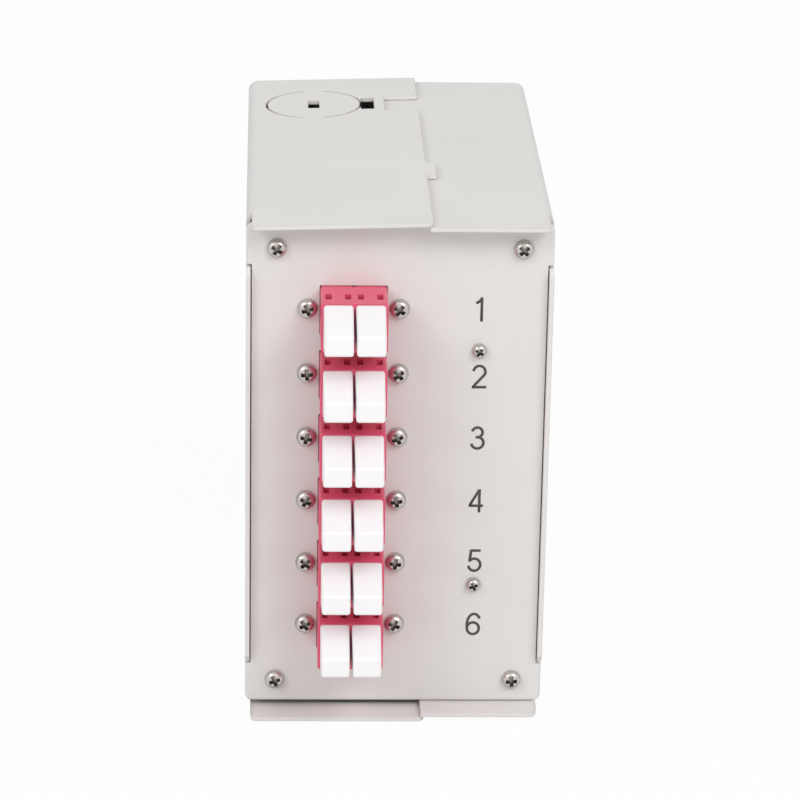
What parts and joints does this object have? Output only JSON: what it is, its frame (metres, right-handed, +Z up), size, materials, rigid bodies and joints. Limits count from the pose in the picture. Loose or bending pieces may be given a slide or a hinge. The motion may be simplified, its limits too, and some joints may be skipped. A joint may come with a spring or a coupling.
{
  "type": "din rail fibre box",
  "caption": "Folded steel fibre termination box with a column of duplex adapters under pull-off dust caps, a splice tray inside and a sprung clip for a 35 mm rail.",
  "frame": {"origin": "on the bottom face, in the middle of the case's width and of its depth", "axes": "+X to the right as seen from the front, +Y to the back and the rail, +Z up"},
  "size_m": [0.06, 0.1253, 0.1061],
  "materials": {
    "coated_steel": "light grey powder coat on folded sheet steel, fine satin texture",
    "plain_steel": "zinc plated steel",
    "nickel_screws": "bright nickel plated steel",
    "rose_plastic": "rose coloured moulded plastic with a soft gloss",
    "white_plastic": "white soft moulded plastic, slightly waxy",
    "sleeve_ceramic": null,
    "tray_plastic": "pale grey moulded plastic",
    "lid_plastic": "clear sheet plastic",
    "clip_plastic": "black moulded plastic, fine grain",
    "spring_steel": "bare spring steel"
  },
  "bodies": {
    "case": {"base_shell": "coated_steel", "cover_shell": "coated_steel", "front_panel": "coated_steel", "splice_bracket": "plain_steel", "panel_nuts": "plain_steel", "adapter_nuts": "plain_steel", "bracket_nuts": "plain_steel", "clip_nuts": "plain_steel", "adapter_screws": "nickel_screws", "panel_screws": "nickel_screws", "bracket_screws": "nickel_screws", "clip_screws": "nickel_screws", "tray_screws": "nickel_screws", "adapter_1": "rose_plastic", "adapter_2": "rose_plastic", "adapter_3": "rose_plastic", "adapter_4": "rose_plastic", "adapter_5": "rose_plastic", "adapter_6": "rose_plastic", "sleeve_1a": "sleeve_ceramic", "sleeve_1b": "sleeve_ceramic", "sleeve_2a": "sleeve_ceramic", "sleeve_2b": "sleeve_ceramic", "sleeve_3a": "sleeve_ceramic", "sleeve_3b": "sleeve_ceramic", "sleeve_4a": "sleeve_ceramic", "sleeve_4b": "sleeve_ceramic", "sleeve_5a": "sleeve_ceramic", "sleeve_5b": "sleeve_ceramic", "sleeve_6a": "sleeve_ceramic", "sleeve_6b": "sleeve_ceramic", "splice_tray": "tray_plastic", "splice_holder": "tray_plastic", "tray_lid": "lid_plastic", "rail_clip": "clip_plastic", "latch_spring": "spring_steel"},
    "dust_cap_1a": {"dust_cap_1a": "white_plastic"},
    "dust_cap_1b": {"dust_cap_1b": "white_plastic"},
    "dust_cap_2a": {"dust_cap_2a": "white_plastic"},
    "dust_cap_2b": {"dust_cap_2b": "white_plastic"},
    "dust_cap_3a": {"dust_cap_3a": "white_plastic"},
    "dust_cap_3b": {"dust_cap_3b": "white_plastic"},
    "dust_cap_4a": {"dust_cap_4a": "white_plastic"},
    "dust_cap_4b": {"dust_cap_4b": "white_plastic"},
    "dust_cap_5a": {"dust_cap_5a": "white_plastic"},
    "dust_cap_5b": {"dust_cap_5b": "white_plastic"},
    "dust_cap_6a": {"dust_cap_6a": "white_plastic"},
    "dust_cap_6b": {"dust_cap_6b": "white_plastic"},
    "rail_latch": {"rail_latch": "clip_plastic"}
  },
  "joints": [
    {"name": "dust_cap_1a_pull", "type": "slide", "parent": "case", "child": "dust_cap_1a", "axis": [0, -1, 0], "range_m": [0, 0.02]},
    {"name": "dust_cap_1b_pull", "type": "slide", "parent": "case", "child": "dust_cap_1b", "axis": [0, -1, 0], "range_m": [0, 0.02]},
    {"name": "dust_cap_2a_pull", "type": "slide", "parent": "case", "child": "dust_cap_2a", "axis": [0, -1, 0], "range_m": [0, 0.02]},
    {"name": "dust_cap_2b_pull", "type": "slide", "parent": "case", "child": "dust_cap_2b", "axis": [0, -1, 0], "range_m": [0, 0.02]},
    {"name": "dust_cap_3a_pull", "type": "slide", "parent": "case", "child": "dust_cap_3a", "axis": [0, -1, 0], "range_m": [0, 0.02]},
    {"name": "dust_cap_3b_pull", "type": "slide", "parent": "case", "child": "dust_cap_3b", "axis": [0, -1, 0], "range_m": [0, 0.02]},
    {"name": "dust_cap_4a_pull", "type": "slide", "parent": "case", "child": "dust_cap_4a", "axis": [0, -1, 0], "range_m": [0, 0.02]},
    {"name": "dust_cap_4b_pull", "type": "slide", "parent": "case", "child": "dust_cap_4b", "axis": [0, -1, 0], "range_m": [0, 0.02]},
    {"name": "dust_cap_5a_pull", "type": "slide", "parent": "case", "child": "dust_cap_5a", "axis": [0, -1, 0], "range_m": [0, 0.02]},
    {"name": "dust_cap_5b_pull", "type": "slide", "parent": "case", "child": "dust_cap_5b", "axis": [0, -1, 0], "range_m": [0, 0.02]},
    {"name": "dust_cap_6a_pull", "type": "slide", "parent": "case", "child": "dust_cap_6a", "axis": [0, -1, 0], "range_m": [0, 0.02]},
    {"name": "dust_cap_6b_pull", "type": "slide", "parent": "case", "child": "dust_cap_6b", "axis": [0, -1, 0], "range_m": [0, 0.02]},
    {"name": "rail_latch_slide", "type": "slide", "parent": "case", "child": "rail_latch", "axis": [0, 0, -1], "range_m": [0, 0.0045], "stiffness_N_per_m": 800, "deforming": ["latch_spring"]}
  ]
}
